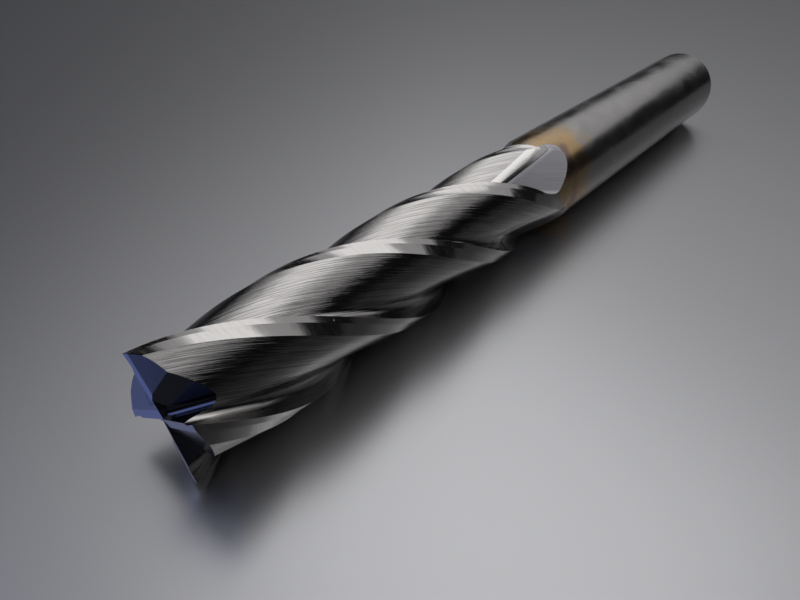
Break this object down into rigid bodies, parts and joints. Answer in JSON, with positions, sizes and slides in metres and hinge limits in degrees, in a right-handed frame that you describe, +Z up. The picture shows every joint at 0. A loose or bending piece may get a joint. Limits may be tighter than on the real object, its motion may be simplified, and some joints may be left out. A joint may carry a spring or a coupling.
{
  "type": "end mill",
  "caption": "Solid carbide square end mill with a plain round shank, right-hand helical flutes, relieved lands and end teeth gashed to cut to the centre.",
  "frame": {"origin": "centre of the shank's flat end face, which the tool stands on", "axes": "+Z runs up the tool's axis from the shank end to the cutting tip; the first short end tooth's edge points along azimuth -58.8 degrees, and the tool cuts when it turns counterclockwise about +Z"},
  "size_m": [0.0112, 0.0112, 0.1016],
  "materials": {
    "ground_carbide": "ground"
  },
  "bodies": {
    "root": {"end_mill": "ground_carbide"}
  },
  "joints": []
}
